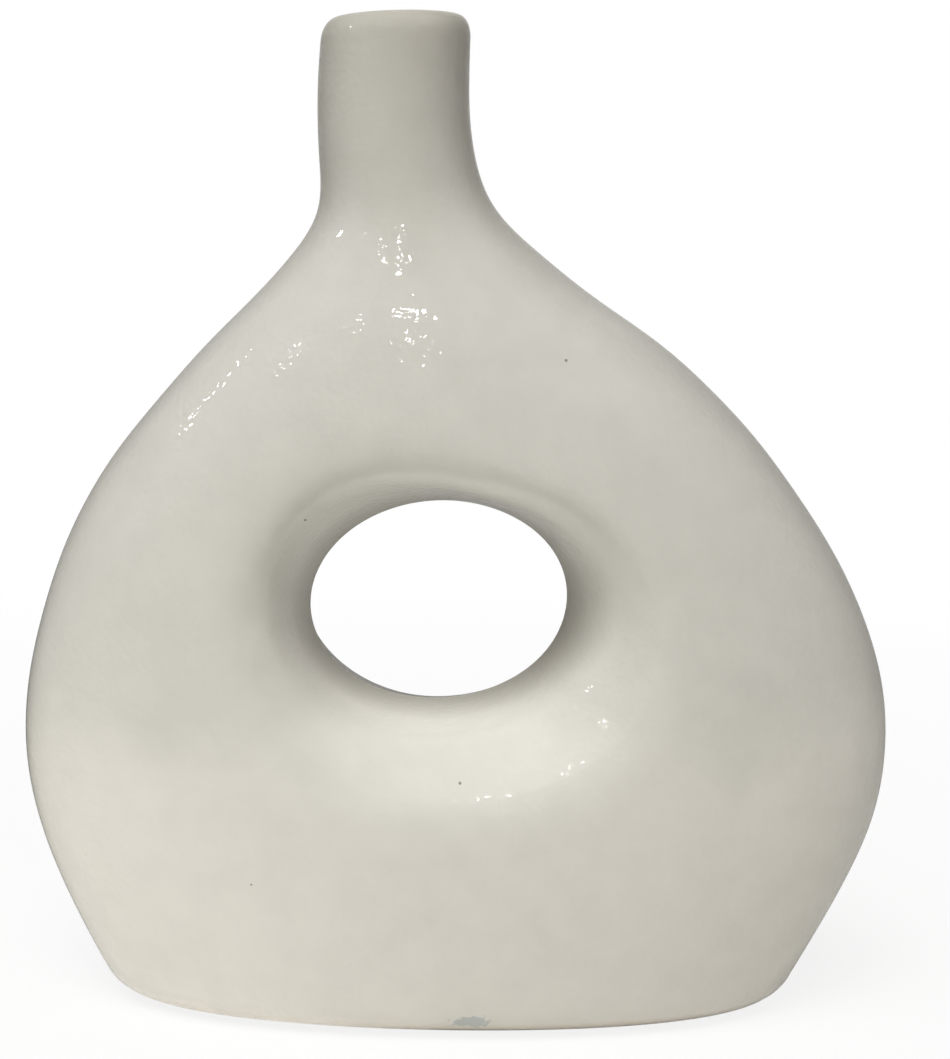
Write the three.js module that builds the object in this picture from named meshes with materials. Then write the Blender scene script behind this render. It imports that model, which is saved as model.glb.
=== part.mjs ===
// Bottle vase: a flattened, hollow body with a neck set to one side and a flared oval opening right through
// it. Millimetres, +Z up. The front faces -Y, the foot stands on Z = 0, and the origin lies halfway between
// the belly's left and right edges.
import * as THREE from 'three';
import { mergeVertices } from 'three/addons/utils/BufferGeometryUtils.js';

// From the ground to the top of the rim.
const HEIGHT = 298;

// Cross-sections of the glazed outside, from the ground up. rise is the height of a section above the one
// below it, left and right reach from the middle of the belly, depth is half the size from front to back,
// and square is the exponent of the section's curve: 2 is an ellipse, more is boxier. All rises together
// make up the height, and stretch with it when it is changed by itself.
const FOOT = { rise: 0, left: 103, right: 101, depth: 37, square: 2.1 };
const SKIRT = { rise: 29.8, left: 117.5, right: 116, depth: 43, square: 2.3 };
const FLANK = { rise: 25.3, left: 126.7, right: 126.6, depth: 46, square: 2.4 };
const BELLY = { rise: 25.4, left: 131.2, right: 131.2, depth: 47.5, square: 2.4 };
const HIP = { rise: 38.7, left: 125.7, right: 124.9, depth: 47.5, square: 2.4 };
const CHEST = { rise: 46.2, left: 105.6, right: 97.4, depth: 44, square: 2.4 };
const SHOULDER = { rise: 34.3, left: 77.5, right: 64.6, depth: 36.5, square: 2.3 };
const ROOT = { rise: 25.3, left: 53.4, right: 29.2, depth: 27.5, square: 2.1 };
const COLLAR = { rise: 14.9, left: 43.6, right: 11.8, depth: 23.3, square: 2 };
const NECK = { rise: 16.4, left: 42.6, right: 3.9, depth: 22.4, square: 2 };
const RIM = { rise: 41.7, left: 41.6, right: 1.8, depth: 21.9, square: 2 };

// Opening through the body: its throat lies on the parting plane and flares out to a dish in both faces.
// The dish's middle lies a little to the right of the throat's and below it, and a tilt is the angle, in
// degrees, by which an oval's right-hand end is lowered. The flare's bend is the exponent of its curve: 2 is
// a quarter ellipse, less comes nearer to a straight slope with a tight turn at both ends.
const HOLE_SHIFT = -5.6;
const HOLE_ABOVE_BELLY = 45;
const HOLE_WIDTH = 78;
const HOLE_TALL = 61;
const HOLE_TILT = -5;
const FLARE_SIDE = 21.5;
const FLARE_UPRIGHT = 19;
const FLARE_BEND = 1.55;
const DISH_SHIFT = 5.3;
const DISH_DROP = 1.9;
const DISH_TILT = 29.5;

// Clay wall, glaze outside and poured glaze inside.
const WALL = 5.5;
const GLAZE = 0.6;
const LINER = 0.5;

// Luted joints: the neck sits on the shells above the root section, the shells sit on the base plate.
const SEAT_ABOVE_ROOT = 7;
const SEAM_ABOVE_ROUND = 2;

// Foot: rounded edge, standing ring, shallow recess, and the band above the ground that is wiped free of
// glaze.
const ROUND_IN = 11;
const ROUND_UP = 9;
const RING = 9;
const RECESS = 2.5;
const DRY_FOOT = 1.5;

// Lip: how far the outside leans in on its way to the top, over what height, and the tighter curve into the
// bore. The rim leans: its left-hand end is lower, by this share of the neck's width.
const LIP_IN = 3.8;
const LIP_DROP = 6.5;
const LIP_EASE = 3;
const RIM_LEAN = 0.045;
const GLAZE_DOWN_BORE = 24;

// Facets of each curve.
const SIDE_STEPS = 14;
const ARC_STEPS = 10;
const FACE_STEPS = 5;
const FLARE_STEPS = 4;
const ROUND_STEPS = 3;

// Layers, as depths below the glazed outside.
const SKIN = 0;
const CLAY = GLAZE;
const CAVITY = GLAZE + WALL;
const LINING = GLAZE + WALL + LINER;

const SECTIONS = [FOOT, SKIRT, FLANK, BELLY, HIP, CHEST, SHOULDER, ROOT, COLLAR, NECK, RIM];
const riseTo = (i) => SECTIONS.slice(0, i + 1).reduce((sum, part) => sum + part.rise, 0);
const STRETCH = HEIGHT / riseTo(SECTIONS.length - 1);
const HEIGHTS = SECTIONS.map((part, i) => riseTo(i) * STRETCH);
const heightOf = (part) => HEIGHTS[SECTIONS.indexOf(part)];

const TOP = heightOf(RIM);
const SEAT = heightOf(ROOT) + SEAT_ABOVE_ROOT;
const HOLE_HEIGHT = heightOf(BELLY) + HOLE_ABOVE_BELLY;
const FLOOR = ROUND_UP + SEAM_ABOVE_ROUND;

// Natural cubic spline through values at the section heights; the function returned gives the value and the
// slope.
function spline(values) {
  const last = values.length - 1;
  const bend = new Array(last + 1).fill(0);
  const load = new Array(last + 1).fill(0);
  for (let i = 1; i < last; i++) {
    const before = HEIGHTS[i] - HEIGHTS[i - 1];
    const after = HEIGHTS[i + 1] - HEIGHTS[i];
    const share = before / (before + after);
    const pivot = share * bend[i - 1] + 2;
    const turn = (values[i + 1] - values[i]) / after - (values[i] - values[i - 1]) / before;
    bend[i] = (share - 1) / pivot;
    load[i] = (6 * turn / (before + after) - share * load[i - 1]) / pivot;
  }
  const curve = new Array(last + 1).fill(0);
  for (let i = last - 1; i > 0; i--) {
    curve[i] = bend[i] * curve[i + 1] + load[i];
  }
  return (z) => {
    let k = 0;
    while (k < last - 1 && z > HEIGHTS[k + 1]) {
      k += 1;
    }
    const step = HEIGHTS[k + 1] - HEIGHTS[k];
    const b = (z - HEIGHTS[k]) / step;
    const a = 1 - b;
    const pull = ((a ** 3 - a) * curve[k] + (b ** 3 - b) * curve[k + 1]) * step * step / 6;
    const lean = ((1 - 3 * a * a) * curve[k] + (3 * b * b - 1) * curve[k + 1]) * step / 6;
    return {
      value: a * values[k] + b * values[k + 1] + pull,
      slope: (values[k + 1] - values[k]) / step + lean,
    };
  };
}

const leftAt = spline(SECTIONS.map((s) => s.left));
const rightAt = spline(SECTIONS.map((s) => s.right));
const depthAt = spline(SECTIONS.map((s) => s.depth));
const squareAt = spline(SECTIONS.map((s) => s.square));

// The body's section at height z for the layer that lies `inset` below the glazed outside. The inset is
// measured square to the wall, so it is stretched where the wall slopes. The foot's edge is a quarter
// ellipse taken off all round.
function section(z, inset) {
  const k = Math.min(1, Math.max(0, 1 - z / ROUND_UP));
  const cut = ROUND_IN * (1 - Math.sqrt(1 - k * k));
  const steep = Math.min(3, ROUND_IN * k / (ROUND_UP * Math.sqrt(1 - k * k) + 1e-6));
  const reach = (at) => {
    const { value, slope } = at(z);
    return value - cut - inset * Math.hypot(1, slope + steep);
  };
  const left = -reach(leftAt);
  const right = reach(rightAt);
  return {
    middle: (left + right) / 2,
    half: (right - left) / 2,
    depth: reach(depthAt),
    square: squareAt(z).value,
  };
}

// Distance of a section's curve from the parting plane, at a share u of its half width.
function bulge(s, u) {
  return s.depth * Math.max(0, 1 - Math.abs(u) ** s.square) ** (1 / s.square);
}

// Point of a section's curve: angle 0 is the right-hand end, PI the left-hand one; side is -1 in front, +1
// behind. Above the neck joint the rim's lean grows with the square of the height.
function ringPoint(z, angle, inset, side) {
  const s = section(z, inset);
  const u = Math.cos(angle);
  const share = Math.max(0, (z - SEAT) / (TOP - SEAT));
  const drop = RIM_LEAN * s.half * (1 - u) * share ** 2;
  return new THREE.Vector3(s.middle + s.half * u, side * bulge(s, u), z - drop);
}

// The two ovals of the opening: the throat of a layer, and the dish's edge.
function throatOval(inset) {
  return {
    shift: 0,
    drop: 0,
    tilt: HOLE_TILT,
    wide: HOLE_WIDTH / 2 + inset,
    tall: HOLE_TALL / 2 + inset,
  };
}

function dishOval() {
  return {
    shift: DISH_SHIFT,
    drop: DISH_DROP,
    tilt: DISH_TILT,
    wide: HOLE_WIDTH / 2 + FLARE_SIDE,
    tall: HOLE_TALL / 2 + FLARE_UPRIGHT,
  };
}

// Where the ray from the opening's middle to a point dx across and dz up from it crosses an oval, as a
// share of the way to that point. In the oval's own axes, each divided by its half size, the oval is a
// circle of radius 1.
function crossing(dx, dz, oval) {
  const turn = THREE.MathUtils.degToRad(oval.tilt);
  const own = (x, z) => new THREE.Vector2(
    (x * Math.cos(turn) - z * Math.sin(turn)) / oval.wide,
    (z * Math.cos(turn) + x * Math.sin(turn)) / oval.tall,
  );
  const ray = own(dx, dz);
  const start = own(-oval.shift, oval.drop);
  const lean = ray.dot(start);
  return (Math.sqrt(lean ** 2 + ray.lengthSq() * (1 - start.lengthSq())) - lean) / ray.lengthSq();
}

// Distance of a face from the parting plane. Round the opening the face rolls in along the flare's curve,
// from the edge of the dish (way 1) to the throat (way 0), measured along the ray from the opening's
// middle.
function face(x, z, inset) {
  const s = section(z, inset);
  const dx = x - HOLE_SHIFT;
  const dz = z - HOLE_HEIGHT;
  const near = crossing(dx, dz, throatOval(inset));
  const far = crossing(dx, dz, dishOval());
  const way = Math.min(1, Math.max(0, (1 - near) / (far - near)));
  const u = Math.min(1, Math.abs(x - s.middle) / s.half);
  return bulge(s, u) * (1 - (1 - way) ** FLARE_BEND) ** (1 / FLARE_BEND);
}

// Stations round the edge of one half: up the right side, across the neck joint, down the left side, along
// the floor.
function edgeStations(floor) {
  const stations = [];
  for (let i = 0; i < SIDE_STEPS; i++) {
    stations.push({ z: floor + (SEAT - floor) * i / SIDE_STEPS, angle: 0 });
  }
  for (let i = 0; i < ARC_STEPS; i++) {
    stations.push({ z: SEAT, angle: Math.PI * i / ARC_STEPS });
  }
  for (let i = 0; i < SIDE_STEPS; i++) {
    stations.push({ z: SEAT + (floor - SEAT) * i / SIDE_STEPS, angle: Math.PI });
  }
  for (let i = 0; i <= ARC_STEPS; i++) {
    stations.push({ z: floor, angle: Math.PI * (1 - i / ARC_STEPS) });
  }
  return stations;
}

// The point where the ray from the opening's middle towards a point crosses an oval, on the parting plane.
function onOval(point, oval) {
  const dx = point.x - HOLE_SHIFT;
  const dz = point.z - HOLE_HEIGHT;
  const share = crossing(dx, dz, oval);
  return new THREE.Vector3(HOLE_SHIFT + dx * share, 0, HOLE_HEIGHT + dz * share);
}

// One half of a layer: from every edge station a row of points runs straight towards the opening's middle,
// as seen from the front, first over the face to the edge of the dish and then down the flare to the
// throat. Points crowd at the outline, at the dish's edge and at the throat, where the surface bends most.
function halfSurface(side, inset, floor) {
  return edgeStations(floor).map(({ z, angle }) => {
    const edge = ringPoint(z, angle, inset, side);
    const dish = onOval(edge, dishOval());
    const throat = onOval(edge, throatOval(inset));
    const row = [edge];
    const add = (point) => {
      point.y = side * face(point.x, point.z, inset);
      row.push(point);
    };
    for (let j = 1; j <= FACE_STEPS; j++) {
      add(edge.clone().lerp(dish, 1 - Math.cos(Math.PI / 2 * j / FACE_STEPS)));
    }
    for (let j = 1; j < FLARE_STEPS; j++) {
      add(dish.clone().lerp(throat, (1 - Math.cos(Math.PI * j / FLARE_STEPS)) / 2));
    }
    row.push(throat);
    return row;
  });
}

// Rows of points up a stack of sections, one row for each station round the ring, seen from above
// counterclockwise. levels is a list of [height, inset].
function ringSurface(levels) {
  const rows = [];
  for (let i = 0; i <= 2 * ARC_STEPS; i++) {
    const angle = Math.PI * (i <= ARC_STEPS ? i : 2 * ARC_STEPS - i) / ARC_STEPS;
    rows.push(levels.map(([z, inset]) => ringPoint(z, angle, inset, i < ARC_STEPS ? 1 : -1)));
  }
  return rows;
}

// Triangles between neighbouring rows of points. Each four-cornered patch is split along its shorter
// diagonal, and a patch that ends in a point gives one triangle.
function sheet(rows, flip = false) {
  const corners = [];
  const put = (p, q, r) => {
    if (p.distanceTo(q) > 1e-6 && q.distanceTo(r) > 1e-6 && r.distanceTo(p) > 1e-6) {
      corners.push(...(flip ? [r, q, p] : [p, q, r]));
    }
  };
  for (let i = 0; i + 1 < rows.length; i++) {
    for (let j = 0; j + 1 < rows[i].length; j++) {
      const [a, b, c, d] = [rows[i][j], rows[i + 1][j], rows[i + 1][j + 1], rows[i][j + 1]];
      if (a.distanceTo(c) <= b.distanceTo(d)) {
        put(a, b, c);
        put(a, c, d);
      } else {
        put(a, b, d);
        put(b, c, d);
      }
    }
  }
  return corners;
}

// One closed body from its sheets of triangles.
function solid(name, look, ...sheets) {
  const geometry = mergeVertices(new THREE.BufferGeometry().setFromPoints(sheets.flat()), 1e-4);
  geometry.computeVertexNormals();
  const mesh = new THREE.Mesh(geometry, look);
  mesh.name = name;
  return mesh;
}

// A half of the body: out over the face, round the throat's edge, back along the cavity, and across the
// outline's edge.
function shell(name, look, side) {
  const outside = halfSurface(side, CLAY, FLOOR);
  const inside = halfSurface(side, CAVITY, FLOOR);
  const rows = outside.map((row, i) => [...row, ...inside[i].toReversed(), row[0]]);
  return solid(name, look, sheet(rows, side > 0));
}

// Heights and insets up the outside of the neck, over the lip and down the bore as far as `end`, for one
// layer. The lip is two quarter ellipses that meet at its top.
function neckLevels(layer, end) {
  const bore = GLAZE + WALL + GLAZE - layer;
  const lipStart = TOP - LIP_DROP;
  const levels = [];
  for (const share of [0, 0.08, 0.17, 0.27, 0.4, 0.58, 0.8]) {
    levels.push([SEAT + (lipStart - SEAT) * share, layer]);
  }
  for (let i = 0; i <= 4; i++) {
    const a = Math.PI / 2 * i / 4;
    levels.push([lipStart + (LIP_DROP - layer) * Math.sin(a), LIP_IN - (LIP_IN - layer) * Math.cos(a)]);
  }
  for (let i = 1; i <= 3; i++) {
    const a = Math.PI / 2 * i / 3;
    levels.push([TOP - LIP_EASE + (LIP_EASE - layer) * Math.cos(a), LIP_IN + (bore - LIP_IN) * Math.sin(a)]);
  }
  levels.push([(TOP - LIP_EASE + end) / 2, bore]);
  levels.push([end, bore]);
  return levels;
}

// Heights up the inside of the neck from the joint to where the outer glaze ends, for one layer.
function boreLevels(layer) {
  const end = TOP - GLAZE_DOWN_BORE;
  return [0, 0.12, 0.26, 0.42, 0.65, 1].map((share) => [SEAT + (end - SEAT) * share, layer]);
}

function neckTube(look) {
  const over = neckLevels(CLAY, TOP - GLAZE_DOWN_BORE);
  const down = boreLevels(CAVITY).toReversed().slice(1);
  return solid('neck_tube', look, sheet(ringSurface([...over, ...down, [SEAT, CLAY]])));
}

// Heights down the foot's rounded edge, from the joint to the line where the glaze stops.
function footLevels(layer) {
  const lowest = Math.asin(1 - DRY_FOOT / ROUND_UP);
  const levels = [[FLOOR, layer]];
  for (let i = 0; i <= ROUND_STEPS; i++) {
    levels.push([ROUND_UP * (1 - Math.sin(lowest * i / ROUND_STEPS)), layer]);
  }
  return levels;
}

// The slab under the body: flat on top, rounded edge, a standing ring with a shallow recess inside it.
function basePlate(look) {
  const sides = [...footLevels(CLAY), [0, CLAY]];
  const { middle } = section(0, CLAY);
  const ring = (inset, z) => (row) => {
    const foot = row[row.length - 1];
    const s = section(0, CLAY);
    const share = 1 - inset / s.depth;
    const wide = 1 - inset / s.half;
    return new THREE.Vector3(middle + (foot.x - middle) * wide, foot.y * share, z);
  };
  const rows = ringSurface(sides).map((row) => [
    new THREE.Vector3(middle, 0, FLOOR),
    ...row,
    ring(RING, 0)(row),
    ring(RING + RECESS, RECESS)(row),
    new THREE.Vector3(middle, 0, RECESS),
  ]);
  return solid('base_plate', look, sheet(rows, true));
}

// The outer coat: both faces, the neck and its lip, and the foot's edge, laid on the clay and closed along
// its two ends.
function outerGlaze(look) {
  const end = TOP - GLAZE_DOWN_BORE;
  const neck = [SKIN, CLAY].map((layer) => ringSurface(neckLevels(layer, end)));
  const foot = [SKIN, CLAY].map((layer) => ringSurface(footLevels(layer)));
  const closing = (rows) => rows[0].map((row, i) => [row[row.length - 1], rows[1][i][row.length - 1]]);
  return solid(
    'outer_glaze',
    look,
    sheet(halfSurface(-1, SKIN, FLOOR)),
    sheet(halfSurface(-1, CLAY, FLOOR), true),
    sheet(halfSurface(1, SKIN, FLOOR), true),
    sheet(halfSurface(1, CLAY, FLOOR)),
    sheet(neck[0]),
    sheet(neck[1], true),
    sheet(closing(neck)),
    sheet(foot[0], true),
    sheet(foot[1]),
    sheet(closing(foot), true),
  );
}

// The inner coat: cavity, floor and bore up to the outer coat's end.
function linerGlaze(look) {
  const bed = FLOOR + LINER;
  const bore = [CAVITY, LINING].map((layer) => ringSurface(boreLevels(layer)));
  const disc = (z, inset) => {
    const { middle } = section(z, inset);
    return ringSurface([[z, inset]]).map(([edge]) => [new THREE.Vector3(middle, 0, z), edge]);
  };
  const lastOf = (rows) => rows.map((row) => row[row.length - 1]);
  const rim = lastOf(bore[0]).map((p, i) => [p, lastOf(bore[1])[i]]);
  return solid(
    'liner_glaze',
    look,
    sheet(halfSurface(-1, CAVITY, FLOOR)),
    sheet(halfSurface(-1, LINING, bed), true),
    sheet(halfSurface(1, CAVITY, FLOOR), true),
    sheet(halfSurface(1, LINING, bed)),
    sheet(bore[0]),
    sheet(bore[1], true),
    sheet(rim),
    sheet(disc(FLOOR, CAVITY)),
    sheet(disc(bed, LINING), true),
  );
}

const clay = new THREE.MeshStandardMaterial({ color: '#d9cdb8', roughness: 0.85, metalness: 0 });
const glaze = new THREE.MeshStandardMaterial({ color: '#d6d3c9', roughness: 0.12, metalness: 0 });
const liner = new THREE.MeshStandardMaterial({ color: '#e2dfd6', roughness: 0.2, metalness: 0 });

const vase = new THREE.Group();
vase.name = 'bottle_vase';
vase.add(
  shell('front_shell', clay, -1),
  shell('back_shell', clay, 1),
  neckTube(clay),
  basePlate(clay),
  outerGlaze(glaze),
  linerGlaze(liner),
);

export default vase;
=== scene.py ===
# %% [markdown]
# A pressed and glazed bottle vase.
# The real vase is a flattened stoneware bottle: two pressed halves, a neck set off to the left, a base slab,
# and a thick creamy glaze over all of it. An oval opening goes right through the body and flares out to a
# dish in both faces. The frame below is the measured model of those six pieces. It stays where it is, and
# every piece made here is laid on it, in metres, with +Z up and the front facing -Y.

# %% Load the fixed frame
import math
import bpy
import numpy as np
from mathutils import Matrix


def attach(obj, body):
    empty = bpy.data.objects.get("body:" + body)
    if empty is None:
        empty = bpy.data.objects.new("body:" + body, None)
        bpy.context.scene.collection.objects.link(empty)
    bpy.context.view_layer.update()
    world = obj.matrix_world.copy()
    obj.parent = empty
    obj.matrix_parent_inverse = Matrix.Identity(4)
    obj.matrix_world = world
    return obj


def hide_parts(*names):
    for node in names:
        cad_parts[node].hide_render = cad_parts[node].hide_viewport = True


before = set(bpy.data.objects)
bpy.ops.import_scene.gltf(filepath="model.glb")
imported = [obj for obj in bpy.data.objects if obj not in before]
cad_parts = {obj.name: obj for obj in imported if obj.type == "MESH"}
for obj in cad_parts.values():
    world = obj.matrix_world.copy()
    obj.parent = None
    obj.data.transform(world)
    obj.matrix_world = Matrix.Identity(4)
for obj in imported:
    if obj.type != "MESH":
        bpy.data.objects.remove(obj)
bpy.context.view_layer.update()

MM = 0.001

# %% [markdown]
# The body's sections.
# A potter would check this form with a set of cardboard ribs, one for each height: how far it reaches to the
# left, to the right and to the front, and how boxy the curve between them is. A mesh could be sculpted by
# eye instead, but eleven ribs and a smooth curve through them say the same in a short table, and any layer
# of the wall can be worked out from them again.

# %% Ribs from the ground up
# Columns in mm: rise above the rib below, reach to the left, reach to the right, half the depth; then the
# exponent of the curve, where 2 is an ellipse and more is boxier.
RIBS = np.array([
    [0.0, 103.0, 101.0, 37.0, 2.1],
    [29.8, 117.5, 116.0, 43.0, 2.3],
    [25.3, 126.7, 126.6, 46.0, 2.4],
    [25.4, 131.2, 131.2, 47.5, 2.4],
    [38.7, 125.7, 124.9, 47.5, 2.4],
    [46.2, 105.6, 97.4, 44.0, 2.4],
    [34.3, 77.5, 64.6, 36.5, 2.3],
    [25.3, 53.4, 29.2, 27.5, 2.1],
    [14.9, 43.6, 11.8, 23.3, 2.0],
    [16.4, 42.6, 3.9, 22.4, 2.0],
    [41.7, 41.6, 1.8, 21.9, 2.0],
])
RIB_HEIGHTS = np.cumsum(RIBS[:, 0])
BELLY_HEIGHT, ROOT_HEIGHT, TOP = RIB_HEIGHTS[[3, 7, 10]]
# The foot's rounded edge, across and up; the neck joint's height; and how far the rim sinks for its width.
ROUND_IN, ROUND_UP = 11.0, 9.0
SEAT = ROOT_HEIGHT + 7.0
RIM_LEAN = 0.045


def natural_spline(values):
    """A smooth curve through values at the rib heights: between two ribs it is the straight line plus a
    cubic, and the bend runs in a straight line from rib to rib, with none at both ends. Gives value and
    slope at heights z."""
    step = np.diff(RIB_HEIGHTS)
    inner = np.arange(1, len(values) - 1)
    system = np.eye(len(values))
    system[inner, inner - 1] = step[:-1] / 6
    system[inner, inner] = (step[:-1] + step[1:]) / 3
    system[inner, inner + 1] = step[1:] / 6
    load = np.zeros(len(values))
    load[inner] = np.diff(np.diff(values) / step)
    bend = np.linalg.solve(system, load)

    def curve(z):
        k = np.clip(np.searchsorted(RIB_HEIGHTS, z) - 1, 0, len(step) - 1)
        b = (z - RIB_HEIGHTS[k]) / step[k]
        a = 1 - b
        pull = ((a**3 - a) * bend[k] + (b**3 - b) * bend[k + 1]) * step[k] ** 2 / 6
        lean = ((1 - 3 * a**2) * bend[k] + (3 * b**2 - 1) * bend[k + 1]) * step[k] / 6
        slope = (values[k + 1] - values[k]) / step[k] + lean
        return a * values[k] + b * values[k + 1] + pull, slope

    return curve


left_at, right_at, depth_at, square_at = [natural_spline(column) for column in RIBS[:, 1:].T]


def section(z, inset):
    """Middle, half width, half depth and exponent of the section at heights z, for the layer that lies inset
    below the glazed outside. The inset is square to the wall, so it grows by hypot(1, slope). The foot's
    edge is a quarter ellipse taken off all round."""
    k = np.clip(1 - z / ROUND_UP, 0, 1)
    root = np.sqrt(1 - k * k)
    cut = ROUND_IN * (1 - root)
    steep = np.minimum(3, ROUND_IN * k / (ROUND_UP * root + 1e-6))
    reach = [value - cut - inset * np.hypot(1, slope + steep) for value, slope in
             (at(z) for at in (left_at, right_at, depth_at))]
    return (reach[1] - reach[0]) / 2, (reach[0] + reach[1]) / 2, reach[2], square_at(z)[0]


def ring(z, angle, inset):
    """Points of the section's curve: across by cos(angle), and out by (1 - |cos|^n)^(1/n), in front where
    the angle is over pi and behind where it is under. Above the neck joint the left end sinks with the
    square of the height, for the rim leans."""
    z, angle, inset = np.broadcast_arrays(*(np.asarray(value, float) for value in (z, angle, inset)))
    middle, half, depth, n = section(z, inset)
    u = np.cos(angle)
    out = depth * np.clip(1 - np.abs(u) ** n, 0, None) ** (1 / n)
    drop = RIM_LEAN * half * (1 - u) * np.clip((z - SEAT) / (TOP - SEAT), 0, None) ** 2
    return np.stack([middle + half * u, np.where(angle > math.pi, -out, out), z - drop], axis=-1)


belly = section(BELLY_HEIGHT, 0.0)
print("belly", round(2 * belly[1], 1), "mm wide,", round(2 * belly[2], 1), "mm deep")

# %% [markdown]
# The opening through the body.
# On the real vase both faces were pushed in with the thumbs until they met, so each face rolls into the hole
# over a soft edge, and the dish came out larger at the lower right than the hole itself. A boolean cut would
# leave a hard edge there. Here the flare is worked out instead. Along every ray from the hole's middle, a
# steep wall rises from the throat to a soft corner, a gentler band goes on to the dish's edge, and there the
# face takes over. The dish's edge strays from its oval by a few waves, as a thumbed edge does, and on the
# front the corner wanders too.

# %% Throat and dish
HOLE = np.array([-5.6, BELLY_HEIGHT + 45.0])
# Ovals: sideways and upward shift of the middle, half width, half height, tilt of the right end down in
# degrees. The throat is wider and taller by the inset of a deeper layer.
THROAT = np.array([0.0, 0.0, 39.0, 30.5, -5.0])
THICKER = np.array([0.0, 0.0, 1.0, 1.0, 0.0])
DISH = np.array([5.3, -1.9, 60.5, 49.5, 29.5])
# Waves of the dish's edge, as shares of its distance: once, twice and three times round, cosine and sine.
STRAY = np.array([[-0.065, -0.004], [0.06, 0.019], [0.035, 0.022]])
# How far out and how high the corner lies, as shares: its mean, and the cosine and sine of one wave round
# the hole.
CORNER = np.array([[0.37, -0.05, 0.24], [0.79, -0.08, 0.15]])
SOFT_CORNER, SOFT_EDGE = 0.36, 0.09
# Along a ray, in lengths of the flare from the throat: where the edge's rounding starts to fade, and where
# it ends.
FADE_START, FADE_END = 1.5, 3.5


def crossing(ray, oval):
    """Where rays from the hole's middle cross an oval, as a share of each ray. In the oval's own turned
    axes, each divided by its half size, the oval is a circle of radius 1, and the share is the root of a
    quadratic."""
    turn = math.radians(oval[4])
    across = np.array([math.cos(turn), -math.sin(turn)]) / oval[2]
    upward = np.array([math.sin(turn), math.cos(turn)]) / oval[3]
    own = np.stack([ray @ across, ray @ upward], axis=-1)
    start = np.array([-oval[:2] @ across, -oval[:2] @ upward])
    square = (own**2).sum(-1)
    lean = own @ start
    return (np.sqrt(lean**2 + square * (1 - start @ start)) - lean) / square


def dish_edge(ray):
    """Where rays from the hole's middle cross the dish's thumbed edge: the oval's share times 1 plus the
    waves."""
    turn = np.arctan2(ray[..., 1], ray[..., 0])[..., None] * np.arange(1, len(STRAY) + 1)
    return crossing(ray, DISH) * (1 + np.cos(turn) @ STRAY[:, 0] + np.sin(turn) @ STRAY[:, 1])


def smaller(a, b, soft):
    """The smaller of two values, with the corner between them rounded by a hyperbola soft wide."""
    return (a + b - np.sqrt((a - b) ** 2 + soft**2)) / 2


def flare(way, turn, front):
    """Height of the flare as a share of the face's, 0 at the throat and 1 outside the dish's edge: the
    softened smallest of a wall from the throat to the corner, a band from the corner to the edge, and the
    face. The rounding fades out on the face, so the neck and the foot keep their own sections."""
    wave = np.stack([np.ones_like(turn), front * np.cos(turn), front * np.sin(turn)])
    out, high = np.tensordot(CORNER, wave, 1)
    slope = (1 - high) / (1 - out)

    def softened(w):
        band = smaller(high * w / out, high + slope * (w - out), SOFT_CORNER)
        return smaller(band, 1, SOFT_EDGE)

    share = softened(way) - softened(0.0) * np.clip(1 - way, 0, 1) ** 2
    kept = (1 + np.cos(math.pi * np.clip((way - FADE_START) / (FADE_END - FADE_START), 0, 1))) / 2
    return np.clip(1 - (1 - share) * kept, 0, 1)


def face_depth(xz, inset, front):
    """Distance of a face from the parting plane: the section's curve times the flare's share, whose way runs
    from 0 at the throat to 1 at the dish's edge along a ray from the hole's middle."""
    middle, half, depth, n = section(xz[..., 1], inset)
    u = np.clip(np.abs(xz[..., 0] - middle) / half, 0, 1)
    ray = xz - HOLE
    near, far = crossing(ray, THROAT + inset * THICKER), dish_edge(ray)
    way = np.clip((1 - near) / (far - near), 0, None)
    return depth * (1 - u**n) ** (1 / n) * flare(way, np.arctan2(ray[..., 1], ray[..., 0]), front)


# Where the halves stand on the base slab, just above its rounded edge.
FLOOR = ROUND_UP + 2.0
# Steps up each side, across the joints, over the face and down the flare.
FINE = {"side": 72, "arc": 36, "face": 36, "flare": 28}
HIDDEN = {"side": 28, "arc": 36, "face": 12, "flare": 10}


def half_face(side, inset, floor, steps):
    """One half of a layer as a grid, in front where side is -1 and behind where it is 1. The first parameter
    walks round its outline: up the right side, over the neck joint, down the left side and back along the
    floor. The second runs straight from the outline towards the hole, over the face to the dish's edge and
    down the flare, with steps that shrink where the surface bends."""
    up = np.arange(steps["side"]) / steps["side"]
    over = np.linspace(0, math.pi, steps["arc"] + 1)
    z = np.concatenate([floor + (SEAT - floor) * up, np.full(steps["arc"], SEAT),
                        SEAT + (floor - SEAT) * up, np.full(steps["arc"] + 1, floor)])
    angle = np.concatenate([0 * up, over[:-1], 0 * up + math.pi, over[::-1]])
    edge = ring(z, np.where(side < 0, 2 * math.pi - angle, angle), inset)
    outline = edge[:, [0, 2]][:, None]
    ray = outline - HOLE
    dish = HOLE + ray * dish_edge(ray)[..., None]
    throat = HOLE + ray * crossing(ray, THROAT + inset * THICKER)[..., None]
    inward = 1 - np.cos(np.linspace(0, math.pi / 2, steps["face"] + 1))[:, None]
    down = (1 - np.cos(np.linspace(0, math.pi, steps["flare"] + 1)))[1:, None] / 2
    xz = np.concatenate([outline + (dish - outline) * inward, dish + (throat - dish) * down], axis=1)
    y = side * face_depth(xz, inset, side < 0)
    y[:, 0] = edge[:, 1]
    y[:, -1] = 0
    return np.stack([xz[..., 0], y, xz[..., 1]], axis=-1)


print("front half of the glaze:", half_face(-1, 0.0, FLOOR, FINE).shape[:2], "points")

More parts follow.
